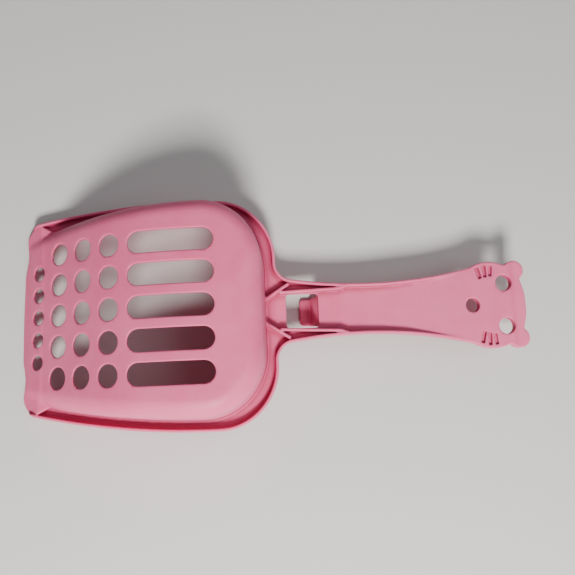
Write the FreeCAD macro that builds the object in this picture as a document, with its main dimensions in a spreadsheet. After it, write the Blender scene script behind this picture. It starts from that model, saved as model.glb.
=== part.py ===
"""Cat litter scoop with a cat-face handle: one injection moulding, lying underside up.

Mould frame, used while the regions are built: the rim's lower plane is z = 0, +X runs from
the pan towards the cat face, +Z is the side that the pan's floor bulges to. At the end every
region gets the one resting placement, which sets the front corners and the hanging clip on
the ground, with the origin under the middle of the whole scoop.
"""
import FreeCAD, Part
import math
import os

import Sketcher
from FreeCAD import Placement, Rotation, Vector

DIMENSIONS = {
    # rim, seen from above
    "back_edge": 53.6,
    "front_edge": 81.5,
    "rim_half_width": 62.9,
    "widest_place": 20.0,
    "side_curve": 386.0,
    "back_corner": 31.6,
    "front_corner": 8.0,
    "front_bow": 800.0,
    "notch_curve": 11.0,
    "notch_depth": 1.6,
    "notch_offset": 33.0,
    # sections
    "lip_thick": 1.8,
    "lip_tall": 6.0,
    "flange_thick": 2.0,
    "wall_inset": 5.6,
    "wall_thick": 2.0,
    "wall_draft": 6.0,
    "floor_round": 8.0,
    "pan_corner": 39.6,
    # where the pan's shape runs on before it is cut: forwards, and below the rim
    "pan_run_out": 110.0,
    "pan_run_round": 20.0,
    "pan_root": 30.0,
    # border between the regions of the pan's floor and of its walls, from the rim
    "floor_margin": 16.0,
    # side profile of the pan's floor
    "crest_place": 20.0,
    "crest_tall": 45.0,
    "crown_curve": 118.1,
    "ramp_angle": 34.0,
    # sieve
    "slot_count": 5,
    "slot_pitch": 16.0,
    "slot_wide": 11.0,
    "slot_long": 42.8,
    "hole_wide": 11.3,
    "hole_columns": 3,
    "hole_run": 16.8,
    "first_run": 32.5,
    "drain_wide": 7.6,
    "drain_pitch": 11.7,
    "drain_run": 81.3,
    "cutter_reach": 8.0,
    # how far the borders between regions keep off the holes' middles and the slots' ends
    "split_shift": 0.3,
    # handle
    "waist_place": 103.0,
    "waist_half": 14.2,
    "waist_curve": 264.0,
    "root_round": 7.5,
    "trough_end": 92.0,
    "neck_place": 158.0,
    "lip_fade_place": 125.0,
    "opening_near": 59.0,
    "opening_far": 77.0,
    "opening_half": 9.5,
    "rib_near": 55.0,
    "rib_far": 93.0,
    "rib_offset": 10.2,
    "rib_drift": 1.7,
    "rib_thick": 1.7,
    "gusset_angle": 32.5,
    "gusset_place": 55.0,
    "gusset_offset": 11.4,
    "gusset_thick": 1.8,
    "gusset_reach": 14.0,
    "brace_border": 16.5,
    # solid front corners
    "corner_place": 68.0,
    "corner_offset": 47.8,
    "corner_angle": 152.0,
    "corner_reach": 15.0,
    "corner_zone": 40.0,
    # hanging clip
    "clip_tip": 67.5,
    "clip_foot": 74.8,
    "clip_half": 7.6,
    "clip_drop": 10.0,
    "clip_thick": 2.0,
    # cat face
    "face_thick": 4.4,
    "brow_thick": 5.4,
    "brow_place": 189.5,
    "chin_curve": 41.5,
    "face_end": 196.0,
    "cheek_curve": 21.1,
    "cheek_place": 176.0,
    "cheek_offset": 3.6,
    "ear_curve": 5.6,
    "ear_place": 190.7,
    "ear_offset": 19.3,
    "eye_wide": 9.2,
    "eye_place": 184.2,
    "eye_offset": 12.3,
    "nose_wide": 8.0,
    "nose_place": 165.1,
    "whisker_wide": 1.8,
    "whisker_deep": 1.4,
}

doc = FreeCAD.newDocument("litter_scoop")
sheet = doc.addObject("Spreadsheet::Sheet", "Sizes")
for line, (alias, number) in enumerate(DIMENSIONS.items(), start=1):
    sheet.set(f"A{line}", alias)
    sheet.set(f"B{line}", str(number))
    sheet.setAlias(f"B{line}", alias)
doc.recompute()


def size(alias):
    """Value of one cell of the sheet."""
    return float(sheet.get(alias))


def names(expression):
    """Put the sheet's name in front of every alias in an expression."""
    for alias in sorted(DIMENSIONS, key=len, reverse=True):
        expression = expression.replace(f"<{alias}>", f"Sizes.{alias}")
    return expression


def value(expression):
    """What an expression over the sheet comes to."""
    return float(sheet.evalExpression(names(expression)))


def combine(kind, name, shapes):
    """One boolean feature of the kind MultiFuse or MultiCommon."""
    feature = doc.addObject(f"Part::{kind}", name)
    feature.Shapes = shapes
    return feature


def cut(name, base, tool):
    feature = doc.addObject("Part::Cut", name)
    feature.Base = base
    feature.Tool = tool
    return feature


def block(name, low, high):
    """Box between two corners; each corner is three expressions."""
    box = doc.addObject("Part::Box", name)
    for size_name, axis, start, end in zip(("Length", "Width", "Height"), "xyz", low, high):
        box.setExpression(size_name, names(f"({end}) - ({start})"))
        box.setExpression(f"Placement.Base.{axis}", names(start))
    return box


def post(name, radius, place, low, high):
    """Upright cylinder; radius, place (two values) and heights are expressions."""
    cylinder = doc.addObject("Part::Cylinder", name)
    cylinder.setExpression("Radius", names(radius))
    cylinder.setExpression("Height", names(f"({high}) - ({low})"))
    cylinder.setExpression("Placement.Base.x", names(place[0]))
    cylinder.setExpression("Placement.Base.y", names(place[1]))
    cylinder.setExpression("Placement.Base.z", names(low))
    return cylinder


# ---------------------------------------------------------------- sketched solids

def plane(body, role):
    return next(p for p in body.Origin.OriginFeatures if p.Role == role)


def sketched_body(name, role, height=0.0):
    """A body with an empty sketch on one of its own origin planes."""
    body = doc.addObject("PartDesign::Body", name)
    sketch = body.newObject("Sketcher::SketchObject", f"{name}_sketch")
    sketch.AttachmentSupport = [(plane(body, role), "")]
    sketch.MapMode = "FlatFace"
    sketch.AttachmentOffset = Placement(Vector(0, 0, height), Rotation())
    return body, sketch


def dimension(sketch, name, expression, *constraint):
    """A named driving constraint, bound to an expression over the sheet."""
    number = sketch.addConstraint(Sketcher.Constraint(*constraint))
    sketch.renameConstraint(number, name)
    sketch.setExpression(f"Constraints.{name}", names(expression))


def draw_arc(sketch, centre, radius, start, end):
    circle = Part.Circle(Vector(*centre, 0), Vector(0, 0, 1), radius)
    return sketch.addGeometry(Part.ArcOfCircle(circle, math.radians(start), math.radians(end)), False)


def draw_line(sketch, start, end):
    return sketch.addGeometry(Part.LineSegment(Vector(*start, 0), Vector(*end, 0)), False)


def draw_rim_outline(sketch, inset_text, front_text, front_round_text, back_round_text):
    """Rim seen from above: bowed sides, round corners, straight front and back."""
    inset = value(inset_text)
    front = -value(front_text)
    side = size("side_curve") - inset
    back_round = value(back_round_text) - inset
    front_round = value(front_round_text)
    wide = size("widest_place")
    back = size("back_edge") - inset
    drop = size("rim_half_width") - size("side_curve")
    back_x = back - back_round
    back_y = drop + math.sqrt((side - back_round) ** 2 - (back_x - wide) ** 2)
    front_x = front + front_round
    front_y = drop + math.sqrt((side - front_round) ** 2 - (front_x - wide) ** 2)
    back_turn = math.degrees(math.atan2(back_y - drop, back_x - wide))
    front_turn = math.degrees(math.atan2(front_y - drop, front_x - wide))

    draw_line(sketch, (front, -front_y), (front, front_y))
    draw_arc(sketch, (front_x, front_y), front_round, front_turn, 180)
    draw_arc(sketch, (wide, drop), side, back_turn, front_turn)
    draw_arc(sketch, (back_x, back_y), back_round, 0, back_turn)
    draw_line(sketch, (back, back_y), (back, -back_y))
    draw_arc(sketch, (back_x, -back_y), back_round, -back_turn, 0)
    draw_arc(sketch, (wide, -drop), side, -front_turn, -back_turn)
    draw_arc(sketch, (front_x, -front_y), front_round, 180, 360 - front_turn)

    joints = ((0, 2, 1, 2), (1, 1, 2, 2), (2, 1, 3, 2), (3, 1, 4, 1),
              (4, 2, 5, 2), (5, 1, 6, 2), (6, 1, 7, 2), (7, 1, 0, 1))
    for joint in joints:
        sketch.addConstraint(Sketcher.Constraint("Tangent", *joint))
    sketch.addConstraint(Sketcher.Constraint("Vertical", 0))
    sketch.addConstraint(Sketcher.Constraint("Vertical", 4))
    dimension(sketch, "front", f"-({front_text})", "DistanceX", -1, 1, 0, 1, front)
    dimension(sketch, "back", f"<back_edge> - ({inset_text})", "DistanceX", -1, 1, 4, 1, back)
    for tag, side_arc, back_arc, front_arc, sign in (("left", 2, 3, 1, ""), ("right", 6, 5, 7, "-")):
        dimension(sketch, f"{tag}_side", f"<side_curve> - ({inset_text})", "Radius", side_arc, side)
        dimension(sketch, f"{tag}_back", f"({back_round_text}) - ({inset_text})",
                  "Radius", back_arc, back_round)
        dimension(sketch, f"{tag}_front", front_round_text, "Radius", front_arc, front_round)
        dimension(sketch, f"{tag}_wide", "<widest_place>", "DistanceX", -1, 1, side_arc, 3, wide)
        centre_y = drop if not sign else -drop
        dimension(sketch, f"{tag}_bow", f"{sign}(<rim_half_width> - <side_curve>)",
                  "DistanceY", -1, 1, side_arc, 3, centre_y)


def rim_prism(name, inset_text, low_text, tall_text, front_text="<front_edge>",
              front_round_text="<front_corner>", back_round_text="<back_corner>", draft_text="0"):
    """Prism over the rim's outline, with draft if asked for."""
    body, sketch = sketched_body(name, "XY_Plane", value(low_text))
    draw_rim_outline(sketch, inset_text, front_text, front_round_text, back_round_text)
    doc.recompute()
    pad = body.newObject("PartDesign::Pad", f"{name}_pad")
    pad.Profile = sketch
    pad.setExpression("Length", names(tall_text))
    pad.setExpression("TaperAngle", names(draft_text))
    doc.recompute()
    return body


def draw_side_profile(sketch, inset, inset_text, above):
    """Floor of the pan seen from the side: straight ramp running into a crown arc.

    The closed loop takes in what lies above the floor's surface, or what lies below it.
    """
    radius = size("crown_curve") - inset
    centre = (size("crest_place"), size("crest_tall") - size("crown_curve"))
    slope = math.radians(size("ramp_angle"))
    far_x, near_x = 75.0, -150.0
    cap_z = 90.0 if above else -60.0
    meet = (centre[0] - radius * math.sin(slope), centre[1] + radius * math.cos(slope))
    low = (near_x, meet[1] - (meet[0] - near_x) * math.tan(slope))
    end_turn = math.degrees(math.acos((far_x - centre[0]) / radius))
    end = (far_x, centre[1] + radius * math.sin(math.radians(end_turn)))
    if not above:
        low = (meet[0] - (meet[1] - cap_z) / math.tan(slope), cap_z)

    draw_line(sketch, low, meet)
    draw_arc(sketch, centre, radius, end_turn, 90 + size("ramp_angle"))
    draw_line(sketch, end, (far_x, cap_z))
    draw_line(sketch, (far_x, cap_z), (low[0], cap_z))
    if above:
        draw_line(sketch, (low[0], cap_z), low)
    last = 4 if above else 3
    sketch.addConstraint(Sketcher.Constraint("Tangent", 0, 2, 1, 2))
    sketch.addConstraint(Sketcher.Constraint("Coincident", 1, 1, 2, 1))
    sketch.addConstraint(Sketcher.Constraint("Coincident", 2, 2, 3, 1))
    if above:
        sketch.addConstraint(Sketcher.Constraint("Coincident", 3, 2, 4, 1))
        sketch.addConstraint(Sketcher.Constraint("Vertical", 4))
        sketch.addConstraint(Sketcher.Constraint("DistanceX", -1, 1, 0, 1, near_x))
    sketch.addConstraint(Sketcher.Constraint("Coincident", last, 2, 0, 1))
    sketch.addConstraint(Sketcher.Constraint("Vertical", 2))
    sketch.addConstraint(Sketcher.Constraint("Horizontal", 3))
    sketch.addConstraint(Sketcher.Constraint("DistanceX", -1, 1, 1, 1, far_x))
    sketch.addConstraint(Sketcher.Constraint("DistanceY", -1, 1, 3, 1, cap_z))
    dimension(sketch, "ramp", "<ramp_angle>", "Angle", 0, slope)
    dimension(sketch, "crown", f"<crown_curve> - ({inset_text})", "Radius", 1, radius)
    dimension(sketch, "crest_x", "<crest_place>", "DistanceX", -1, 1, 1, 3, centre[0])
    dimension(sketch, "crest_z", "<crest_tall> - <crown_curve>", "DistanceY", -1, 1, 1, 3, centre[1])


def on_floor_surface(face, radius):
    """True for the ramp plane and the crown cylinder."""
    if face.Surface.TypeId == "Part::GeomCylinder":
        return abs(face.Surface.Radius - radius) < 0.01 and abs(face.Surface.Axis.y) > 0.99
    if face.Surface.TypeId == "Part::GeomPlane":
        return abs(abs(face.Surface.Axis.z) - math.cos(math.radians(size("ramp_angle")))) < 1e-4
    return False


def pan_solid(name, inset_text):
    """Drafted pan under the floor's surface, with the floor's edge rounded.

    It runs on below the rim's plane, so that the rounding fades out over the front corners.
    """
    body = rim_prism(name, f"<wall_inset> + ({inset_text}) - <pan_root> * tan(<wall_draft>)",
                     "-<pan_root>", "<crest_tall> * 2", "<pan_run_out>", "<pan_run_round>",
                     "<pan_corner>", "-<wall_draft>")
    sketch = body.newObject("Sketcher::SketchObject", f"{name}_profile")
    sketch.AttachmentSupport = [(plane(body, "XZ_Plane"), "")]
    sketch.MapMode = "FlatFace"
    draw_side_profile(sketch, value(inset_text), inset_text, above=True)
    doc.recompute()
    before = body.Shape.Volume
    pocket = body.newObject("PartDesign::Pocket", f"{name}_top")
    pocket.Profile = sketch
    pocket.Length = 200.0
    pocket.SideType = "Symmetric"
    doc.recompute()
    if body.Shape.Volume > before - 1.0:
        raise RuntimeError(f"{name}: the pocket removed nothing")
    radius = value(f"<crown_curve> - ({inset_text})")
    floor_faces = [face for face in pocket.Shape.Faces if on_floor_surface(face, radius)]
    border = []
    for number, edge in enumerate(pocket.Shape.Edges, start=1):
        owners = sum(any(edge.isSame(other) for other in face.Edges) for face in floor_faces)
        above_base = edge.BoundBox.ZMax > -size("pan_root") + 0.1
        if owners == 1 and above_base:
            border.append(f"Edge{number}")
    fillet = body.newObject("PartDesign::Fillet", f"{name}_round")
    fillet.Base = (pocket, border)
    fillet.setExpression("Radius", names(f"<floor_round> - ({inset_text})"))
    doc.recompute()
    return body


def profile_prism(name):
    """Everything under the floor's surface, wider than the scoop."""
    body, sketch = sketched_body(name, "XZ_Plane")
    draw_side_profile(sketch, 0.0, "0", above=False)
    doc.recompute()
    pad = body.newObject("PartDesign::Pad", f"{name}_pad")
    pad.Profile = sketch
    pad.Length = 200.0
    pad.SideType = "Symmetric"
    doc.recompute()
    return body


def floor_point(run):
    """Place and slope on the floor's surface, at a distance from the slots' middle.

    The run is measured along the surface towards the front edge.
    """
    radius = size("crown_curve")
    slope = math.radians(size("ramp_angle"))
    centre = Vector(size("crest_place"), 0, size("crest_tall") - radius)
    middle_turn = math.asin(size("crest_place") / radius)
    turn = middle_turn + run / radius
    past = max(0.0, radius * (turn - slope))
    turn = min(turn, slope)
    point = centre + Vector(-radius * math.sin(turn), 0, radius * math.cos(turn))
    point -= Vector(math.cos(slope), 0, math.sin(slope)) * past
    return point, math.degrees(turn)


def drill(name, diameter_text, run, across):
    """Upright cutter, drawn the way the mould opens, that leaves a round hole in the slope.

    Seen from above it is an ellipse, narrower along X by the slope's cosine.
    """
    point, turn = floor_point(run)
    outline = doc.addObject("Part::Ellipse", f"{name}_outline")
    outline.setExpression("MajorRadius", names(f"({diameter_text}) / 2"))
    outline.setExpression("MinorRadius", names(f"({diameter_text}) / 2 * cos({turn:.4f} deg)"))
    outline.Placement = Placement(Vector(point.x, across, point.z), Rotation(Vector(0, 0, 1), 90))
    cutter = doc.addObject("Part::Extrusion", name)
    cutter.Base = outline
    cutter.DirMode = "Custom"
    cutter.Dir = Vector(0, 0, 1)
    cutter.setExpression("LengthFwd", names("<cutter_reach>"))
    cutter.setExpression("LengthRev", names("<cutter_reach>"))
    cutter.Solid = True
    return cutter


def rows(count, pitch):
    """Evenly pitched places about the middle plane."""
    return [(number - (count - 1) / 2) * pitch for number in range(count)]


def slot_cutter(name, across):
    """Upright round-ended cutter over the slots' middle."""
    point, turn = floor_point(0.0)
    half_run = (size("slot_long") - size("slot_wide")) / 2 * math.cos(math.radians(turn))
    low = f"{point.z:.3f} - 2 * <cutter_reach>"
    high = f"{point.z:.3f} + 2 * <cutter_reach>"
    bar = block(f"{name}_bar", (f"{point.x - half_run:.3f}", f"{across} - <slot_wide> / 2", low),
                (f"{point.x + half_run:.3f}", f"{across} + <slot_wide> / 2", high))
    ends = [post(f"{name}_{tag}", "<slot_wide> / 2", (f"{point.x + shift:.3f}", f"{across}"), low, high)
            for tag, shift in (("front", -half_run), ("back", half_run))]
    return combine("MultiFuse", name, [bar] + ends)


# ---------------------------------------------------------------- shapes shared by the regions

slot_rows = rows(int(size("slot_count")), size("slot_pitch"))
drain_rows = rows(int(size("slot_count")), size("drain_pitch"))

cutters = [slot_cutter(f"slot_cut_{number}", across) for number, across in enumerate(slot_rows, 1)]
for column in range(int(size("hole_columns"))):
    column_run = size("first_run") + column * size("hole_run")
    cutters += [drill(f"hole_cut_{column + 1}_{number}", "<hole_wide>", column_run, across)
                for number, across in enumerate(slot_rows, 1)]
cutters += [drill(f"drain_cut_{number}", "<drain_wide>", size("drain_run"), across)
            for number, across in enumerate(drain_rows, 1)]
sieve_cut = combine("MultiFuse", "sieve_cut", cutters)

under_floor = profile_prism("under_floor")
pan_outer = pan_solid("pan_outer", "0")
pan_inner = pan_solid("pan_inner", "<wall_thick>")

bow_centre = "<front_bow> - <front_edge>"
front_limit = post("front_limit", "<front_bow>", (bow_centre, "0"), "-1", "60")
notch_x = "-<front_edge> - <notch_curve> + <notch_depth>"
notches = [post(f"front_notch_{tag}", "<notch_curve>", (notch_x, f"{sign}<notch_offset>"), "-1", "20")
           for tag, sign in (("left", ""), ("right", "-"))]
rim_full = rim_prism("rim_full", "0", "0", "60")
front_kept = combine("MultiCommon", "front_kept", [rim_full, front_limit])
notch_pair = combine("MultiFuse", "notch_pair", notches)
rim_envelope = cut("rim_envelope", front_kept, notch_pair)

pan_skin = cut("pan_skin", pan_outer, pan_inner)
pan_shell = combine("MultiCommon", "pan_shell", [pan_skin, rim_envelope])
pan_pierced = cut("pan_pierced", pan_shell, sieve_cut)
floor_prism = rim_prism("floor_prism", "<floor_margin>", "-1", "<crest_tall> + 15", "<pan_run_out>",
                        "<pan_run_round>", "<pan_corner>")

# Handle and rim seen from above, as whole slabs: the full outline and the one inside the lips.


def root_fill(name, inset_text, tall_text):
    """Concave corner between the rim's back edge and the handle's side, both sides."""
    fills = []
    centre_x = "<back_edge> + <root_round>"
    waist = "<waist_half> + <waist_curve> - sqrt(<waist_curve> * <waist_curve>"
    waist += " - (<waist_place> - <back_edge> - <root_round>) * (<waist_place> - <back_edge> - <root_round>))"
    centre_y = f"{waist} + <root_round>"
    for tag, sign in (("left", 1), ("right", -1)):
        near = f"{waist} - ({inset_text}) - 3"
        y_pair = (near, centre_y) if sign > 0 else (f"-({centre_y})", f"-({near})")
        corner = block(f"{name}_{tag}_block", (f"<back_edge> - ({inset_text}) - 3", y_pair[0], "0"),
                       (centre_x, y_pair[1], tall_text))
        round_y = centre_y if sign > 0 else f"-({centre_y})"
        scoop = post(f"{name}_{tag}_round", f"<root_round> + ({inset_text})", (centre_x, round_y),
                     "-1", f"{tall_text} + 1")
        fills.append(cut(f"{name}_{tag}", corner, scoop))
    return fills


def handle_strip(name, inset_text, tall_text):
    """Waisted strip from inside the rim to the cat face."""
    strip = block(f"{name}_strip", ("<back_edge> - 4", "-30", "0"), ("<cheek_place>", "30", tall_text))
    waists = []
    for tag, sign in (("left", ""), ("right", "-")):
        waists.append(post(f"{name}_waist_{tag}", f"<waist_curve> + ({inset_text})",
                           ("<waist_place>", f"{sign}(<waist_half> + <waist_curve>)"),
                           "-1", f"{tall_text} + 1"))
    return cut(name, strip, combine("MultiFuse", f"{name}_waists", waists))


def plan_slab(name, inset_text, tall_text, front_text):
    """Rim and handle together, one slab thick, without the pan's hollow taken out."""
    rim = rim_prism(f"{name}_rim", inset_text, "0", tall_text, front_text)
    strip = handle_strip(f"{name}_handle", inset_text, tall_text)
    fills = root_fill(f"{name}_root", inset_text, tall_text)
    return combine("MultiFuse", name, [rim, strip] + fills)


lip_slab = plan_slab("lip_slab", "0", "<lip_tall>", "<front_edge>")
lip_core = plan_slab("lip_core", "<lip_thick>", "<lip_tall> + 1", "<front_edge> + 10")
flange_slab = plan_slab("flange_slab", "<lip_thick>", "<flange_thick>", "<front_edge> + 10")
lip_ring = cut("lip_ring", lip_slab, lip_core)
flange_ring = cut("flange_ring", flange_slab, pan_outer)


def turned_box(name, place, angle_text, length, width, low, high):
    """Upright box turned about +Z; it starts at a place and grows along its own axes."""
    box = doc.addObject("Part::Box", name)
    for size_name, text in zip(("Length", "Width", "Height"), (length, width, f"({high}) - ({low})")):
        box.setExpression(size_name, names(text))
    box.Placement = Placement(Vector(*place, value(low)), Rotation(Vector(0, 0, 1), value(angle_text)))
    return box


def tapered_slab(name, near_text, far_text, near_tall, far_tall):
    """Slab on z = 0 whose height changes evenly along X."""
    wedge = doc.addObject("Part::Wedge", name)
    limits = {"Ymin": near_text, "Ymax": far_text, "Xmin": "-40", "Xmax": "40", "X2min": "-40",
              "X2max": "40", "Zmin": "0", "Z2min": "0", "Zmax": near_tall, "Z2max": far_tall}
    for limit, text in limits.items():
        wedge.setExpression(limit, names(text))
    wedge.Placement = Placement(Vector(), Rotation(Vector(0, 0, 1), -90))
    return wedge


# ---------------------------------------------------------------- regions of the moulding

nodes = {}


def region(name, source, low, high, kept_under=None, removed=None):
    """The part of a shared shape between two corners becomes a sub-part."""
    window = block(f"{name}_window", low, high)
    parts = [source, window] + ([kept_under] if kept_under else [])
    shape = combine("MultiCommon", f"{name}_part", parts)
    if removed:
        shape = cut(f"{name}_cut", shape, removed)
    nodes[name] = shape
    return shape


shift = size("split_shift")
slots_point, slots_turn = floor_point(0.0)
half_run = (size("slot_long") - size("slot_wide")) / 2 * math.cos(math.radians(slots_turn))
slots_front = f"{slots_point.x - half_run + shift:.3f}"
slots_back = f"{slots_point.x + half_run - shift:.3f}"
column_runs = [size("first_run") + column * size("hole_run") for column in range(int(size("hole_columns")))]
strip_ends = [slots_front] + [f"{floor_point(run)[0].x + shift:.3f}" for run in column_runs]
blade_back = (floor_point(column_runs[-1])[0].x + floor_point(size("drain_run"))[0].x) / 2
blade_back -= (size("hole_wide") - size("drain_wide")) / 4
strip_ends += [f"{blade_back:.3f}", f"{floor_point(size('drain_run'))[0].x + shift:.3f}"]
corner_start = "<back_edge> - <back_corner>"
side_bow_y = size("rim_half_width") - size("side_curve")
corner_x = size("back_edge") - size("back_corner") - size("widest_place")
corner_y = side_bow_y + math.sqrt((size("side_curve") - size("back_corner")) ** 2 - corner_x ** 2)
corner_side = f"{corner_y:.2f}"

# floor of the pan
pan_floor = combine("MultiCommon", "pan_floor", [pan_pierced, floor_prism])
for number, (strip_back, strip_front) in enumerate(zip(strip_ends, strip_ends[1:]), 1):
    region(f"sieve_strip_{number}", pan_floor, (strip_front, "-70", "-1"), (strip_back, "70", "60"))
region("front_blade", pan_floor, ("-100", "-70", "-1"), (strip_ends[-1], "70", "60"))
region("heel_floor", pan_floor, (slots_back, "-70", "-1"), ("70", "70", "60"))
for number, (low_row, high_row) in enumerate(zip(slot_rows, slot_rows[1:]), 1):
    region(f"slot_bar_{number}", pan_floor, (slots_front, f"{low_row}", "-1"),
           (slots_back, f"{high_row}", "60"))
region("left_floor_edge", pan_floor, (slots_front, f"{slot_rows[-1]}", "-1"), (slots_back, "70", "60"))

# walls of the pan
pan_walls = cut("pan_walls", pan_pierced, floor_prism)
region("left_wall", pan_walls, ("-100", "0", "-1"), (corner_start, "70", "60"))
region("left_wall_corner", pan_walls, (corner_start, corner_side, "-1"), ("70", "70", "60"))
region("back_wall", pan_walls, (corner_start, f"-{corner_side}", "-1"), ("70", corner_side, "60"))

# rim: flange, lip and solid front corners
corner_turn = math.radians(size("corner_angle"))
corner_from = (-size("corner_place") - size("corner_reach") * math.cos(corner_turn),
               size("corner_offset") - size("corner_reach") * math.sin(corner_turn))
corner_zone = turned_box("corner_zone", corner_from, "<corner_angle>", "<corner_zone>", "<corner_zone>",
                         "-1", "20")
corner_solid = combine("MultiCommon", "corner_solid", [lip_slab, under_floor, rim_envelope, corner_zone])
nodes["left_front_corner"] = cut("left_front_corner_part", corner_solid, pan_outer)
region("left_flange", flange_ring, ("-100", "0", "-1"), (corner_start, "70", "60"), under_floor, corner_zone)
region("left_flange_corner", flange_ring, (corner_start, corner_side, "-1"), ("70", "70", "60"))
inner_back = "<back_edge> - <lip_thick>"
region("back_flange", flange_ring, (corner_start, f"-{corner_side}", "-1"), (inner_back, corner_side, "60"))
region("left_lip", lip_ring, ("-100", "0", "-1"), (corner_start, "70", "60"), under_floor, corner_zone)
region("left_lip_corner", lip_ring, (corner_start, corner_side, "-1"), ("70", "70", "60"))
root_end = "<back_edge> + <root_round>"
region("left_root_lip", lip_ring, ("<back_edge> - 8", "0", "-1"), (root_end, corner_side, "60"))

# handle: land behind the pan, rails beside the opening, plate, lips
opening = block("opening", ("<opening_near>", "-<opening_half>", "-1"),
                ("<opening_far>", "<opening_half>", "9"))
handle_low = cut("handle_low", flange_ring, opening)
region("handle_land", handle_low, (inner_back, "-40", "-1"), ("<opening_near>", "40", "9"))
region("left_rail", handle_low, ("<opening_near>", "0", "-1"), ("<opening_far>", "40", "9"))
plate_fill = combine("MultiFuse", "plate_fill", [
    block("plate_flat", ("<opening_far>", "-40", "0"), ("<trough_end>", "40", "<flange_thick>")),
    tapered_slab("plate_rise", "<trough_end>", "<neck_place>", "<flange_thick>", "<face_thick>")])
plate_strip = handle_strip("plate_strip", "<lip_thick>", "<lip_tall>")
nodes["handle_plate"] = combine("MultiCommon", "handle_plate_part", [plate_strip, plate_fill])
lip_fill = combine("MultiFuse", "lip_fill", [
    block("lip_level", (root_end, "0", "0"), ("<lip_fade_place>", "40", "<lip_tall>")),
    tapered_slab("lip_fade", "<lip_fade_place>", "<neck_place>", "<lip_tall>", "<face_thick>")])
region("left_handle_lip", lip_ring, (root_end, "0", "-1"), ("<neck_place>", "40", "9"), lip_fill)

# braces between the pan and the handle
gusset_turn = math.radians(size("gusset_angle"))
gusset_from = Vector(size("gusset_place"), size("gusset_offset"), 0)
gusset_from -= Vector(math.cos(gusset_turn), math.sin(gusset_turn), 0) * size("gusset_reach")
gusset_from -= Vector(-math.sin(gusset_turn), math.cos(gusset_turn), 0) * size("gusset_thick") / 2
gusset_bar = turned_box("gusset_bar", (gusset_from.x, gusset_from.y), "<gusset_angle>",
                        "2 * <gusset_reach>", "<gusset_thick>", "<flange_thick>", "<lip_tall>")
braced = combine("MultiFuse", "braced", [pan_outer, lip_ring])
outside_lip = cut("gusset_reach", gusset_bar, braced)
gusset_hold = block("gusset_hold", ("<back_edge> - 10", "0", "0"), (root_end, "<brace_border>", "9"))
nodes["left_gusset"] = combine("MultiCommon", "left_gusset_part", [outside_lip, gusset_hold])
rib_turn = "atan(<rib_drift> / (<rib_far> - <rib_near>))"
rib_from = (size("rib_near"), size("rib_offset") - size("rib_thick") / 2)
rib_bar = turned_box("rib_bar", rib_from, rib_turn, "<rib_far> - <rib_near>", "<rib_thick>",
                     "<flange_thick>", "<lip_tall>")
rib_stop = combine("MultiFuse", "rib_stop", [lip_ring, gusset_bar])
rib_cleared = cut("rib_cleared", rib_bar, rib_stop)
rib_window = block("rib_window", ("<gusset_place>", "0", "0"), ("<rib_far> + 2", "20", "9"))
nodes["left_rib"] = combine("MultiCommon", "left_rib_part", [rib_cleared, rib_window])

# hanging clip below the handle
rest_turn = math.atan(size("clip_drop") / (size("clip_foot") + size("front_edge")))
tongue = doc.addObject("Part::Box", "tongue")
tongue.setExpression("Length", names("<clip_foot> - <clip_tip> + 1.2"))
tongue.setExpression("Width", names("2 * <clip_half>"))
tongue.setExpression("Height", names("<clip_thick>"))
tongue_foot = Vector(size("clip_tip"), -size("clip_half"), 0)
tongue_foot.z = -(size("clip_tip") + size("front_edge")) * math.tan(rest_turn)
tongue.Placement = Placement(tongue_foot, Rotation(Vector(0, 1, 0), math.degrees(rest_turn)))
nodes["clip_tongue"] = tongue
riser = doc.addObject("Part::Wedge", "riser")
riser_limits = {"Ymin": "-<clip_drop> + <clip_thick> / 2", "Ymax": "0",
                "Xmin": "<clip_foot> - 1.8", "Xmax": "<clip_foot> + 0.6",
                "X2min": "<opening_far>", "X2max": "<opening_far> + 2.2",
                "Zmin": "-<clip_half>", "Zmax": "<clip_half>",
                "Z2min": "-<opening_half> + 0.4", "Z2max": "<opening_half> - 0.4"}
for limit, text in riser_limits.items():
    riser.setExpression(limit, names(text))
riser.Placement = Placement(Vector(), Rotation(Vector(1, 0, 0), 90))
nodes["clip_riser"] = cut("clip_riser_part", riser, tongue)

# cat face at the handle's end
cheeks = combine("MultiFuse", "cheeks", [
    post(f"cheek_{tag}", "<cheek_curve>", ("<cheek_place>", f"{sign}<cheek_offset>"), "0", "<brow_thick>")
    for tag, sign in (("left", ""), ("right", "-"))])
chin = post("chin", "<chin_curve>", ("<face_end> - <chin_curve>", "0"), "0", "<brow_thick>")
face_round = combine("MultiCommon", "face_round", [cheeks, chin])
neck_strip = handle_strip("neck_strip", "0", "<brow_thick>")
face_full = combine("MultiFuse", "face_full", [face_round, neck_strip])
face_fill = combine("MultiFuse", "face_fill", [
    block("face_flat", ("<neck_place>", "-40", "0"), ("<brow_place>", "40", "<face_thick>")),
    block("brow", ("<brow_place>", "-40", "0"), ("<face_end> + 5", "40", "<brow_thick>"))])
face_blank = combine("MultiCommon", "face_blank", [face_full, face_fill])
face_holes = [post("nose_hole", "<nose_wide> / 2", ("<nose_place>", "0"), "-1", "9")]
for tag, sign in (("left", ""), ("right", "-")):
    face_holes.append(post(f"eye_hole_{tag}", "<eye_wide> / 2",
                           ("<eye_place>", f"{sign}<eye_offset>"), "-1", "9"))

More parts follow.
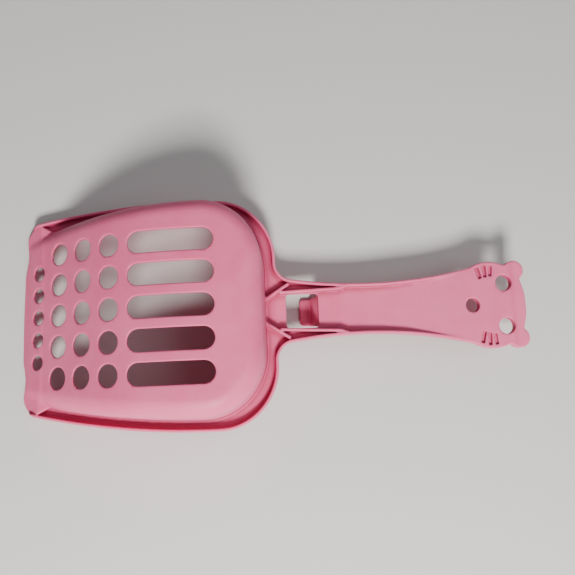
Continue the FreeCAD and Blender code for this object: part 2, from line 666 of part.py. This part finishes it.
WHISKERS = (((169.0, 21.3), (170.7, 15.2)), ((173.3, 22.6), (173.7, 16.0)), ((177.3, 22.5), (176.6, 16.5)))
whisker_cuts = []
for number, (outer_end, inner_end) in enumerate(WHISKERS, 1):
    for tag, sign in (("left", 1), ("right", -1)):
        start = Vector(inner_end[0], sign * inner_end[1], 0)
        along = Vector(outer_end[0], sign * outer_end[1], 0) - start
        turn = math.atan2(along.y, along.x)
        start -= Vector(-math.sin(turn), math.cos(turn), 0) * size("whisker_wide") / 2
        groove = doc.addObject("Part::Box", f"whisker_{tag}_{number}")
        groove.Length = along.Length
        groove.setExpression("Width", names("<whisker_wide>"))
        groove.Height = 9.0
        start.z = size("face_thick") - size("whisker_deep")
        groove.Placement = Placement(start, Rotation(Vector(0, 0, 1), math.degrees(turn)))
        whisker_cuts.append(groove)
face_cuts = combine("MultiFuse", "face_cuts", face_holes + whisker_cuts)
nodes["cat_face"] = cut("cat_face_part", face_blank, face_cuts)
ear_disc = post("ear_disc", "<ear_curve>", ("<ear_place>", "<ear_offset>"), "0", "<brow_thick>")
nodes["left_ear"] = cut("left_ear_part", ear_disc, face_full)

doc.recompute()

# ---------------------------------------------------------------- resting placement and files

rest_spin = Rotation(Vector(0, 1, 0), -math.degrees(rest_turn))
front_low = rest_spin.multVec(Vector(-size("front_edge"), 0, 0))
face_far = rest_spin.multVec(Vector(size("face_end"), 0, 0))
rest = Placement(Vector(-(front_low.x + face_far.x) / 2, 0, -front_low.z), rest_spin)

for name, thing in list(nodes.items()):
    if name.startswith("left_"):
        twin = doc.addObject("Part::Mirroring", f"{name}_twin")
        twin.Source = thing
        twin.Normal = Vector(0, 1, 0)
        nodes[name.replace("left_", "right_", 1)] = twin
    thing.Placement = rest * thing.Placement
doc.recompute()

for thing in doc.Objects:
    if "Invalid" in thing.State or "Error" in thing.State:
        raise RuntimeError(f"{thing.Name} failed: {thing.State}")

os.makedirs("parts", exist_ok=True)
for name, thing in nodes.items():
    thing.Label = name
    shape = thing.Shape
    if shape.isNull() or not shape.isValid() or not shape.Solids:
        raise RuntimeError(f"{name} has no valid solid")
    print(f"{name:20s} solids {len(shape.Solids)} volume {shape.Volume:9.1f} mm3")
    shape.exportStep(f"parts/{name}.step")
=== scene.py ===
"""Looks of the cat litter scoop: one seamless moulded skin over the CAD regions.

The scoop is one injection moulding, so its skin is one mesh. Its shape is worked out as a
distance field in the mould frame, in millimetres: the rim's lower plane is z = 0, +X runs from
the pan to the cat face, +Z is the side that the pan's floor bulges to. The mesh is then turned
into the resting attitude of the CAD model, in metres.
"""
import math

import bpy
import numpy as np
import openvdb
from mathutils import Matrix, Vector


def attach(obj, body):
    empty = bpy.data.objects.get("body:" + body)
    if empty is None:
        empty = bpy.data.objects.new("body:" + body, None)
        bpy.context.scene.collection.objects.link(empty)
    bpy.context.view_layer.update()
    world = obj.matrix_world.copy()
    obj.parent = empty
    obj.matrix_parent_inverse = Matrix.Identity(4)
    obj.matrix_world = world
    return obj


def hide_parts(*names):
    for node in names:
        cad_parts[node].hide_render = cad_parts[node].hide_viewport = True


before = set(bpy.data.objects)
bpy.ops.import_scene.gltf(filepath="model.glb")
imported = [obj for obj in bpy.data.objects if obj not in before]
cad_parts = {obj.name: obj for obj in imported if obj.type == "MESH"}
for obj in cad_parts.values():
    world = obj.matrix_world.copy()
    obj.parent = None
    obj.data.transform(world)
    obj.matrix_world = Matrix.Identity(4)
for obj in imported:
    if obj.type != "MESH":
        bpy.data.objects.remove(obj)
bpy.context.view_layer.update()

# ---------------------------------------------------------------- sizes, millimetres and degrees

CELL = 0.53                   # spacing of the distance field
BLOCK = 5                     # cells along the side of a block that is refined
MERGE = 0.004                 # how freely flat areas take larger faces
HALF_DIAGONAL = 0.87          # from a block's middle to its corner, over the length of its side
NEAR_MARGIN = 0.5             # how much further from the surface blocks are still refined
BAND = 3.0                    # how far from the surface the meshed field goes, in cells
BORDER = 2.0                  # empty space kept round the scoop in the field
NORMAL_STEP = 0.02            # reach of the differences that give a surface direction
DRAW_ROUNDS, DRAW_LIMIT, LEAST_STEEP = 2, 0.25, 0.3   # how points are drawn onto the surface
PAINTED_SHADE_REACH = (1.3, 2.6, 5.0, 9.0, 14.0)   # how far a point looks out to see how shut in it is, which sets how much crimson shade is painted on it
MM = 0.001                    # metres
FAR = 99.0                    # distance to a hole before any is added

FRONT_EDGE, BACK_EDGE = -81.5, 53.6
RIM_HALF, WIDEST, SIDE_CURVE, BACK_CORNER = 62.9, 20.0, 386.0, 31.6
FRONT_BOW, FRONT_CORNER = 800.0, 8.0
CORNER_FROM, CORNER_TURN = (-68.0, 47.8), 152.0
CORNER_SINK, CORNER_BASE, CORNER_RISE, CORNER_SCALE = 0.2, 0.9, 0.52, 0.88   # its sloping top
NOTCH_CURVE, NOTCH_DEPTH, NOTCH_OFFSET, NOTCH_ROUND = 11.0, 1.6, 33.0, 3.0
FRONT_TO_X = -30.0            # the front edge's shape is looked at only ahead of this
LIP_THICK, LIP_TALL, FLANGE_THICK = 1.8, 6.0, 2.0
WALL_INSET, WALL_THICK, WALL_DRAFT, FLOOR_ROUND = 5.6, 2.0, 6.0, 8.0
PAN_CORNER = 39.6
CREST_X, CREST_Z, CROWN, RAMP = 20.0, 45.0, 118.1, 34.0
SHOULDER_X, SHOULDER_RUN, SHOULDER_RISE = (-80.5, -70.7, -68.5), 4.0, 0.45
EDGE_ROUND, INNER_ROUND, UNDER_ROUND, FRONT_ROUND = 0.6, 0.5, 0.4, 0.4
LIP_FILLET, CORNER_FILLET, BRACE_FILLET, PAN_FILLET = 0.7, 0.4, 0.4, 1.0

SLOT_PITCH, SLOT_WIDE, SLOT_LONG = 16.0, 11.0, 42.8
HOLE_WIDE, HOLE_RUN, FIRST_RUN = 11.3, 16.8, 32.5
DRAIN_WIDE, DRAIN_PITCH, DRAIN_RUN = 7.6, 11.7, 81.3
ROWS, COLUMNS, HOLE_EDGE = 5, 3, 0.45

WAIST_X, WAIST_HALF, WAIST_CURVE, ROOT_ROUND, ROOT_LAP = 103.0, 14.2, 264.0, 7.5, 6.0
TROUGH_END, NECK_X, LIP_FADE_X, LIP_END_X, LIP_SINK = 92.0, 158.0, 125.0, 162.0, 0.6
OPENING_X, OPENING_HALF, OPENING_CORNER, OPENING_EDGE = (59.0, 77.0), 9.5, 1.8, 0.35
RIB_ENDS, RIB_THICK = ((55.0, 10.2), (93.0, 11.9)), 1.7
RIB_TIP, RIB_TIP_SHIFT, RIB_TIP_THIN = 5.0, 0.9, 0.3
GUSSET_ENDS, GUSSET_THICK = ((46.0, 5.7), (60.6, 15.0)), 1.8

CLIP_TIP, CLIP_FOOT, CLIP_HALF, CLIP_DROP, CLIP_THICK = 67.5, 74.8, 7.6, 10.0, 2.0
CLIP_CORNER, CLIP_LAP, CLIP_FILLET, HOOK_FILLET = 2.2, 0.6, 1.0, 0.6
RISER_BASE, RISER_LIMIT, RISER_LEAN, RISER_TOP = 1.0, 1.2, 1.7, 1.2
RISER_HALF_THICK, RISER_GAP, RISER_SCALE = 1.15, 0.4, 0.94

FACE_END, CHIN_CURVE, CHIN_ROUND = 196.0, 41.5, 2.0
CHEEK_X, CHEEK_OFFSET, CHEEK_CURVE = 176.0, 3.6, 21.1
EAR_X, EAR_OFFSET, EAR_CURVE, EAR_FILLET = 190.7, 19.3, 5.6, 1.6
FACE_THICK, BROW_THICK, BROW_X, BROW_RISE = 4.4, 5.4, 189.5, (-2.2, 1.4)
DISH, DISH_START, DISH_FULL, DISH_EDGE = 0.35, 6.0, 3.0, 2.6
EYE_X, EYE_OFFSET, EYE_WIDE = 184.2, 12.3, 9.2
NOSE_X, NOSE_WIDE, FACE_HOLE_EDGE = 165.1, 8.0, 0.5
WHISKERS = (((169.0, 21.3), (170.7, 15.2)),      # outer and inner ends
            ((173.3, 22.6), (173.7, 16.0)),
            ((177.3, 22.5), (176.6, 16.5)))
WHISKER_WIDE, WHISKER_DEEP, WHISKER_FLOOR, WHISKER_EDGE = 1.8, 1.4, 0.3, 0.25


# ---------------------------------------------------------------- distance helpers

def meet(a, b, radius):
    """Intersection of two solids, its edge rounded to a radius."""
    return np.minimum(np.maximum(a, b), -radius) + np.hypot(np.maximum(a + radius, 0),
                                                            np.maximum(b + radius, 0))


def join(a, b, radius):
    """Union of two solids, its inner corner filled to a radius."""
    return np.maximum(np.minimum(a, b), radius) - np.hypot(np.maximum(radius - a, 0),
                                                           np.maximum(radius - b, 0))


def ease(value, start, end):
    """Smooth step from 0 at start to 1 at end."""
    t = np.clip((value - start) / (end - start), 0, 1)
    return t * t * (3 - 2 * t)


def strip(x, y, start, end, half):
    """Straight bar seen from above, square at its ends."""
    length = math.dist(start, end)
    ux, uy = (end[0] - start[0]) / length, (end[1] - start[1]) / length
    along = (x - start[0]) * ux + (y - start[1]) * uy - length / 2
    aside = -(x - start[0]) * uy + (y - start[1]) * ux
    return np.maximum(np.abs(along) - length / 2, np.abs(aside) - half)


# ---------------------------------------------------------------- the moulding's field

slope = math.radians(RAMP)
crown_z = CREST_Z - CROWN
bend_x = CREST_X - CROWN * math.sin(slope)
bend_z = crown_z + CROWN * math.cos(slope)


def floor_surface(x, z):
    """Distance from the outside of the pan's floor: a ramp running into a crown arc."""
    along = (x - bend_x) * math.cos(slope) + (z - bend_z) * math.sin(slope)
    ramp = -(x - bend_x) * math.sin(slope) + (z - bend_z) * math.cos(slope)
    crown = np.hypot(x - CREST_X, z - crown_z) - CROWN
    return np.where(along < 0, ramp, crown)


def blade_shoulder(x):
    """Slight thickening of the blade, with a soft shoulder behind the drain holes."""
    front, top, foot = SHOULDER_X
    return SHOULDER_RISE * ease(x, front, front + SHOULDER_RUN) * (1 - ease(x, top, foot))


def rim_outline(x, y, corner=BACK_CORNER):
    """Rim seen from above, open at the front."""
    side = np.hypot(x - WIDEST, np.abs(y) + SIDE_CURVE - RIM_HALF) - SIDE_CURVE
    return meet(side, x - BACK_EDGE, corner)


def front_outline(x, y):
    """What lies behind the bowed front edge and its two shallow notches."""
    bow = np.hypot(x - FRONT_EDGE - FRONT_BOW, y) - FRONT_BOW
    notch_x = FRONT_EDGE - NOTCH_CURVE + NOTCH_DEPTH
    notch = NOTCH_CURVE - np.hypot(x - notch_x, np.abs(y) - NOTCH_OFFSET)
    return meet(bow, notch, NOTCH_ROUND)


def face_outline(x, y):
    """Cat face seen from above: cheeks, chin arc and two round ears."""
    cheek = np.hypot(x - CHEEK_X, np.abs(y) - CHEEK_OFFSET) - CHEEK_CURVE
    chin = np.hypot(x - FACE_END + CHIN_CURVE, y) - CHIN_CURVE
    ear = np.hypot(x - EAR_X, np.abs(y) - EAR_OFFSET) - EAR_CURVE
    return join(meet(cheek, chin, CHIN_ROUND), ear, EAR_FILLET)


def handle_outline(x, y):
    """Waisted strip from inside the rim to the cheeks."""
    waist = WAIST_CURVE - np.hypot(x - WAIST_X, np.abs(y) - WAIST_HALF - WAIST_CURVE)
    return np.maximum(np.maximum(waist, BACK_EDGE - ROOT_LAP - x), x - CHEEK_X)


def plan_outline(x, y):
    """Rim, handle and face together, with the concave roots between them."""
    body = join(rim_outline(x, y), handle_outline(x, y), ROOT_ROUND)
    return np.minimum(body, face_outline(x, y))


def pan_outside(x, y, z):
    """The pan as if it were solid: drafted walls under the floor's surface."""
    draft = math.radians(WALL_DRAFT)
    wall = (rim_outline(x, y, PAN_CORNER) + WALL_INSET + z * math.tan(draft)) * math.cos(draft)
    return meet(wall, floor_surface(x, z) - blade_shoulder(x), FLOOR_ROUND)


def front_corner(x, y, z):
    """Solid corner in front of the side wall, ended by a slanted face."""
    turn = math.radians(CORNER_TURN)
    beyond = (x - CORNER_FROM[0]) * math.sin(turn) - (np.abs(y) - CORNER_FROM[1]) * math.cos(turn)
    slanted = (z - CORNER_BASE - (x - FRONT_EDGE) * CORNER_RISE) * CORNER_SCALE
    return meet(np.maximum(z - LIP_TALL + CORNER_SINK, slanted), beyond, EDGE_ROUND)


def braces(x, y, z):
    """Ribs along the opening and gussets up to the pan's back wall."""
    side = np.abs(y)
    tip = ease(x, RIB_ENDS[1][0] - RIB_TIP, RIB_ENDS[1][0])
    half = RIB_THICK / 2 - RIB_TIP_THIN * tip
    rib = meet(strip(x, side - RIB_TIP_SHIFT * tip, *RIB_ENDS, half), z - LIP_TALL, INNER_ROUND)
    gusset = meet(strip(x, side, *GUSSET_ENDS, GUSSET_THICK / 2), z - LIP_TALL, INNER_ROUND)
    return join(rib, gusset, INNER_ROUND)


def moulded_body(x, y, z):
    """Pan, rim, handle and face before anything is pierced."""
    plan = plan_outline(x, y)
    pan = pan_outside(x, y, z)
    rise = np.clip((x - TROUGH_END) / (NECK_X - TROUGH_END), 0, 1)
    top = FLANGE_THICK + (FACE_THICK - FLANGE_THICK) * rise
    top = top + (BROW_THICK - FACE_THICK) * ease(x, BROW_X + BROW_RISE[0], BROW_X + BROW_RISE[1])
    sunk = ease(x, CHEEK_X - DISH_START, BROW_X - DISH_FULL)
    top = top - DISH * sunk * (1 - ease(x, BROW_X - DISH_EDGE, BROW_X))
    fade = np.clip((x - LIP_FADE_X) / (LIP_END_X - LIP_FADE_X), 0, 1)
    lip_top = LIP_TALL + (FACE_THICK - LIP_SINK - LIP_TALL) * fade
    lip = meet(-plan - LIP_THICK, z - lip_top, EDGE_ROUND)
    solid = join(z - top, lip, LIP_FILLET)
    solid = join(solid, front_corner(x, y, z), CORNER_FILLET)
    solid = join(solid, braces(x, y, z), BRACE_FILLET)
    solid = join(solid, pan, PAN_FILLET)
    solid = meet(meet(solid, plan, EDGE_ROUND), -z, UNDER_ROUND)
    solid = meet(solid, -pan - WALL_THICK, INNER_ROUND)
    front = meet(front_outline(x, y), rim_outline(x, y), FRONT_CORNER)
    front = np.maximum(meet(solid, front, FRONT_ROUND), floor_surface(x, z) - blade_shoulder(x))
    return np.where(x < FRONT_TO_X, front, solid)


def clip(x, y, z):
    """Sloping riser and the tongue at its foot, its underside parallel to the ground."""
    rest = math.atan2(CLIP_DROP, CLIP_FOOT - FRONT_EDGE)
    ground = (z + (x - FRONT_EDGE) * math.tan(rest)) * math.cos(rest)
    tip = meet(CLIP_TIP - x, np.abs(y) - CLIP_HALF, CLIP_CORNER)
    tongue = meet(np.maximum(ground - CLIP_THICK, x - CLIP_FOOT - CLIP_LAP), tip, INNER_ROUND)
    climb = np.clip((z + CLIP_DROP - RISER_BASE) / (CLIP_DROP - RISER_BASE), 0, RISER_LIMIT)
    middle = CLIP_FOOT - CLIP_LAP + (OPENING_X[1] + RISER_LEAN - CLIP_FOOT) * climb
    half = CLIP_HALF + (OPENING_HALF - RISER_GAP - CLIP_HALF) * climb
    riser = meet(np.abs(x - middle) - RISER_HALF_THICK, np.abs(y) - half, EDGE_ROUND) * RISER_SCALE
    riser = np.maximum(riser, z - RISER_TOP)
    return meet(join(tongue, riser, CLIP_FILLET), -ground, INNER_ROUND)


def floor_place(run):
    """Where a point of the pan's floor is along X, and its slope, at a distance from the slots."""
    turn = math.asin(CREST_X / CROWN) + run / CROWN
    past = max(0.0, CROWN * (turn - slope))
    turn = min(turn, slope)
    return CREST_X - CROWN * math.sin(turn) - past * math.cos(slope), turn


def rows(pitch):
    """Places across the pan of rows at a pitch, the middle row on the centre line."""
    return [(number - ROWS // 2) * pitch for number in range(ROWS)]


def round_hole(x, y, run, across, half_long, radius):
    """Distance inside a hole that is round, or round-ended, in the slope and runs upright."""
    middle, turn = floor_place(run)
    along = np.maximum(np.abs((x - middle) / math.cos(turn)) - half_long, 0)
    return (np.hypot(along, y - across) - radius) * (math.cos(turn) + 1) / 2


def sieve_holes(x, y):
    """All the holes of the pan's floor as one field."""
    holes = np.full_like(x, FAR)
    for across in rows(SLOT_PITCH):
        half_long = (SLOT_LONG - SLOT_WIDE) / 2
        holes = np.minimum(holes, round_hole(x, y, 0.0, across, half_long, SLOT_WIDE / 2))
        for column in range(COLUMNS):
            run = FIRST_RUN + column * HOLE_RUN
            holes = np.minimum(holes, round_hole(x, y, run, across, 0.0, HOLE_WIDE / 2))
    for across in rows(DRAIN_PITCH):
        holes = np.minimum(holes, round_hole(x, y, DRAIN_RUN, across, 0.0, DRAIN_WIDE / 2))
    return holes


def scoop_field(x, y, z):
    """Distance from the surface of the whole scoop, negative inside."""
    field = moulded_body(x, y, z)
    hook = clip(x, y, z)
    middle = (OPENING_X[0] + OPENING_X[1]) / 2
    length = (OPENING_X[1] - OPENING_X[0]) / 2
    opening = meet(np.abs(x - middle) - length, np.abs(y) - OPENING_HALF, OPENING_CORNER)
    field = meet(field, -opening, OPENING_EDGE)
    field = join(field, hook, HOOK_FILLET)
    field = np.where(x < BACK_EDGE, meet(field, -sieve_holes(x, y), HOLE_EDGE), field)

    side = np.abs(y)
    nose = np.hypot(x - NOSE_X, y) - NOSE_WIDE / 2
    eye = np.hypot(x - EYE_X, side - EYE_OFFSET) - EYE_WIDE / 2
    face = meet(field, -np.minimum(nose, eye), FACE_HOLE_EDGE)
    for outer_end, inner_end in WHISKERS:
        groove = strip(x, side, inner_end, outer_end, WHISKER_WIDE / 2)
        groove = meet(groove, FACE_THICK - WHISKER_DEEP - z, WHISKER_FLOOR)
        face = meet(face, -groove, WHISKER_EDGE)
    return np.where(x > NECK_X, face, field)


def sampled_field(low, high):
    """The field on a regular grid, worked out finely only near the surface."""
    blocks = [int((end - start) / (CELL * BLOCK)) + 1 for start, end in zip(low, high)]
    span = CELL * BLOCK
    centres = np.stack(np.meshgrid(*[start + (np.arange(count) + 0.5) * span - CELL / 2
                                     for start, count in zip(low, blocks)], indexing="ij"), -1)
    rough = scoop_field(*np.moveaxis(centres, -1, 0))
    field = np.repeat(np.repeat(np.repeat(rough, BLOCK, 0), BLOCK, 1), BLOCK, 2).astype(np.float32)
    near = np.argwhere(np.abs(rough) < span * HALF_DIAGONAL + 2 * CELL + NEAR_MARGIN)
    within = np.stack(np.meshgrid(*[np.arange(BLOCK)] * 3, indexing="ij"), -1).reshape(-1, 3)
    index = (near[:, None, :] * BLOCK + within[None, :, :]).reshape(-1, 3)
    points = index * CELL + np.array(low)
    field[tuple(index.T)] = scoop_field(*points.T)
    return field


def surface_normals(points):
    """Direction of the field's steepest rise at each point, and the field there."""
    rise = [scoop_field(*(points + offset).T) - scoop_field(*(points - offset).T)
            for offset in np.eye(3) * NORMAL_STEP]
    return np.stack(rise, -1) / (2 * NORMAL_STEP), scoop_field(*points.T)


def rest_matrix():
    """From the mould frame in millimetres to the resting attitude in metres."""
    turn = math.atan2(CLIP_DROP, CLIP_FOOT - FRONT_EDGE)
    spin = Matrix.Rotation(-turn, 4, "Y")
    front = spin @ Vector((FRONT_EDGE, 0, 0))
    face = spin @ Vector((FACE_END, 0, 0))
    shift = Matrix.Translation((-(front.x + face.x) / 2, 0, -front.z))
    return Matrix.Scale(MM, 4) @ shift @ spin


def build_skin():
    """The scoop's skin as one closed mesh, its points drawn onto the exact surface."""
    low = (FRONT_EDGE - BORDER, -RIM_HALF - BORDER, -CLIP_DROP - BORDER)
    high = (EAR_X + EAR_CURVE + BORDER, RIM_HALF + BORDER, CREST_Z + BORDER)
    grid = openvdb.FloatGrid(BAND)
    grid.copyFromArray(np.clip(sampled_field(low, high) / CELL, -BAND, BAND))
    points, triangles, quads = grid.convertToPolygons(isovalue=0.0, adaptivity=MERGE)
    points = points * CELL + np.array(low)
    for _ in range(DRAW_ROUNDS):
        normals, gap = surface_normals(points)
        steep = np.maximum((normals ** 2).sum(1), LEAST_STEEP)
        move = normals * (gap / steep)[:, None]
        size = np.maximum(np.linalg.norm(move, axis=1), 1e-9)
        points = points - move * np.minimum(1, DRAW_LIMIT * CELL / size)[:, None]
    normals = surface_normals(points)[0]
    normals /= np.maximum(np.linalg.norm(normals, axis=1), 1e-6)[:, None]
    # painted shade: how shut in each point is, which the material turns into crimson in grooves
    # and recesses
    painted_shade_amount = 1 - sum(np.clip(scoop_field(*(points + normals * reach).T) / reach, 0, 1)
                      for reach in PAINTED_SHADE_REACH) / len(PAINTED_SHADE_REACH)
    turned = np.array(rest_matrix())
    points = points @ turned[:3, :3].T + turned[:3, 3]
    mesh = bpy.data.meshes.new("scoop_skin")
    mesh.from_pydata(points.tolist(), [], triangles[:, ::-1].tolist() + quads[:, ::-1].tolist())
    mesh.shade_smooth()
    painted_shade = mesh.attributes.new("painted_shade", "FLOAT", "POINT")
    painted_shade.data.foreach_set("value", painted_shade_amount.astype(np.float32))
    skin = bpy.data.objects.new("scoop_skin", mesh)
    bpy.context.scene.collection.objects.link(skin)
    return skin


# ---------------------------------------------------------------- material

PINK = (0.760, 0.140, 0.275)
PINK_DEEP = (0.720, 0.115, 0.240)
PINK_PALE = (0.800, 0.175, 0.315)
# painted shade: deep crimson put into the base colour in grooves and recesses, where shade and
# light scattered through the plastic fall
PAINTED_SHADE_CRIMSON = (0.460, 0.045, 0.125)
SCUFF = (0.840, 0.300, 0.420)
PAINTED_SHADE_RANGE = (0.12, 0.50)   # how shut in a point is where the painted crimson shade starts and is full
SCUFF_STRENGTH, SCUFF_ROUGHNESS = 0.35, 0.12
SHEEN_RANGE = (0.48, 0.58)    # roughness
FLOOR_GREY = (0.62, 0.61, 0.59, 1.0)
WORLD_TINT, WORLD_STRENGTH = (0.92, 0.94, 1.0, 1.0), 0.14


class Nodes:
    """Short way to add and join shader nodes."""

    def __init__(self, material):
        material.use_nodes = True
        self.tree = material.node_tree
        self.shader = self.tree.nodes["Principled BSDF"]

    def add(self, kind, **settings):
        node = self.tree.nodes.new("ShaderNode" + kind)
        for key, value in settings.items():
            setattr(node, key, value)
        return node

    def join(self, output, socket):
        self.tree.links.new(output, socket)

    def noise(self, place, scale, detail=2.0, roughness=0.5):
        node = self.add("TexNoise")
        self.join(place, node.inputs["Vector"])
        node.inputs["Scale"].default_value = scale
        node.inputs["Detail"].default_value = detail
        node.inputs["Roughness"].default_value = roughness
        return node.outputs["Fac"]

    def remap(self, value, low, high, to_low, to_high):
        node = self.add("MapRange")
        self.join(value, node.inputs["Value"])
        for name, number in (("From Min", low), ("From Max", high),
                             ("To Min", to_low), ("To Max", to_high)):
            node.inputs[name].default_value = number
        return node.outputs["Result"]

    def mix(self, factor, first, second):
        node = self.add("Mix", data_type="RGBA")
        factor_socket, first_socket, second_socket = [
            socket for socket in node.inputs if socket.enabled]
        self.join(factor, factor_socket)
        for socket, value in ((first_socket, first), (second_socket, second)):
            if isinstance(value, tuple):
                socket.default_value = (*value, 1.0)
            else:
                self.join(value, socket)
        return next(socket for socket in node.outputs if socket.enabled)

    def sums(self, operation, first, second):
        node = self.add("Math", operation=operation)
        for socket, value in zip(node.inputs, (first, second)):
            if isinstance(value, (int, float)):
                socket.default_value = value
            else:
                self.join(value, socket)
        return node.outputs["Value"]


def pink_plastic():
    """Satin moulded polypropylene: flow clouds, grain, scuffs, and painted crimson shade where it
    is shut in.
    """
    material = bpy.data.materials.new("pink_moulded_plastic")
    nodes = Nodes(material)
    place = nodes.add("TexCoord").outputs["Object"]

    clouds = nodes.noise(place, 22.0, 3.0)
    flow = nodes.noise(place, 95.0, 4.0, 0.6)
    colour = nodes.mix(nodes.remap(clouds, 0.35, 0.65, 0.0, 1.0), PINK_DEEP, PINK)
    colour = nodes.mix(nodes.remap(flow, 0.40, 0.80, 0.0, 0.5), colour, PINK_PALE)

    stretched = nodes.add("Mapping")
    stretched.inputs["Scale"].default_value = (0.25, 1.6, 1.0)
    stretched.inputs["Rotation"].default_value = (0.0, 0.0, 0.5)
    nodes.join(place, stretched.inputs["Vector"])
    streaks = nodes.noise(stretched.outputs["Vector"], 900.0, 3.0, 0.7)
    patches = nodes.noise(place, 60.0, 2.0)
    worn = nodes.sums("MULTIPLY", nodes.remap(streaks, 0.63, 0.74, 0.0, 1.0),
                      nodes.remap(patches, 0.52, 0.70, 0.0, 1.0))
    colour = nodes.mix(nodes.sums("MULTIPLY", worn, SCUFF_STRENGTH), colour, SCUFF)
    # painted shade: crimson mixed into the base colour where the skin is shut in
    painted_shade = nodes.add("Attribute", attribute_name="painted_shade").outputs["Fac"]
    colour = nodes.mix(nodes.remap(painted_shade, *PAINTED_SHADE_RANGE, 0.0, 1.0), colour, PAINTED_SHADE_CRIMSON)
    nodes.join(colour, nodes.shader.inputs["Base Color"])

    sheen = nodes.remap(nodes.noise(place, 140.0, 4.0, 0.6), 0.3, 0.7, *SHEEN_RANGE)
    nodes.join(nodes.sums("ADD", sheen, nodes.sums("MULTIPLY", worn, SCUFF_ROUGHNESS)),
               nodes.shader.inputs["Roughness"])

    grain = nodes.add("Bump")
    grain.inputs["Strength"].default_value = 0.10
    grain.inputs["Distance"].default_value = 0.0002
    nodes.join(nodes.noise(place, 2600.0, 2.0), grain.inputs["Height"])
    waves = nodes.add("Bump")
    waves.inputs["Strength"].default_value = 0.12
    waves.inputs["Distance"].default_value = 0.001
    nodes.join(nodes.noise(place, 70.0, 2.0), waves.inputs["Height"])
    nodes.join(waves.outputs["Normal"], grain.inputs["Normal"])
    nodes.join(grain.outputs["Normal"], nodes.shader.inputs["Normal"])

    nodes.shader.inputs["Specular IOR Level"].default_value = 0.35
    nodes.shader.inputs["Subsurface Weight"].default_value = 0.2
    nodes.shader.inputs["Subsurface Radius"].default_value = (1.0, 0.30, 0.42)
    nodes.shader.inputs["Subsurface Scale"].default_value = 0.002
    nodes.shader.inputs["IOR"].default_value = 1.49
    return material


# ---------------------------------------------------------------- stage, lights and camera

CAMERA_AT = (31.193, -37.312, 320.133)       # in the mould frame
CAMERA_TURN = (-0.15797, 0.08988, 0.02787)   # radians, mould frame to camera
CAMERA_LENS = 36.30


def add_floor():
    """Plain pale floor."""
    mesh = bpy.data.meshes.new("floor")
    half = 3.0   # metres
    corners = [(-half, -half, 0), (half, -half, 0), (half, half, 0), (-half, half, 0)]
    mesh.from_pydata(corners, [], [(0, 1, 2, 3)])
    floor = bpy.data.objects.new("floor", mesh)
    bpy.context.scene.collection.objects.link(floor)
    material = bpy.data.materials.new("pale_floor")
    nodes = Nodes(material)
    nodes.shader.inputs["Base Color"].default_value = FLOOR_GREY
    nodes.shader.inputs["Roughness"].default_value = 0.85
    mesh.materials.append(material)


def add_light(name, place, aim, size, power, colour):
    """Square soft light pointed at a spot."""
    light = bpy.data.lights.new(name, "AREA")
    light.size, light.energy, light.color = size, power, colour
    lamp = bpy.data.objects.new(name, light)
    lamp.location = place
    lamp.rotation_euler = (Vector(aim) - Vector(place)).to_track_quat("-Z", "Y").to_euler()
    bpy.context.scene.collection.objects.link(lamp)


def add_camera():
    """Camera at the photographed angle, nearly straight above."""
    data = bpy.data.cameras.new("camera")
    data.lens, data.sensor_width = CAMERA_LENS, 36.0
    data.clip_start = 0.01
    camera = bpy.data.objects.new("camera", data)
    tilt, pan, roll = CAMERA_TURN
    turn = (Matrix.Rotation(roll, 4, "Z") @ Matrix.Rotation(pan, 4, "Y")
            @ Matrix.Rotation(tilt, 4, "X"))
    rest = rest_matrix()
    attitude = rest.to_quaternion().to_matrix().to_4x4() @ turn.transposed()
    camera.matrix_world = Matrix.Translation(rest @ Vector(CAMERA_AT)) @ attitude
    bpy.context.scene.collection.objects.link(camera)
    bpy.context.scene.camera = camera


skin = build_skin()
skin.data.materials.append(pink_plastic())
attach(skin, "root")
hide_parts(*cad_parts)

add_floor()
add_light("key", place=(-0.02, -0.63, 0.60), aim=(0.0, 0.0, 0.01), size=0.22, power=14.5,
          colour=(1.0, 0.98, 0.95))
add_light("fill", place=(0.55, 0.12, 0.75), aim=(0.0, 0.0, 0.0), size=0.9, power=3.6,
          colour=(0.97, 0.98, 1.0))
world = bpy.data.worlds.new("studio")
world.use_nodes = True
world.node_tree.nodes["Background"].inputs["Color"].default_value = WORLD_TINT
world.node_tree.nodes["Background"].inputs["Strength"].default_value = WORLD_STRENGTH
bpy.context.scene.world = world
add_camera()
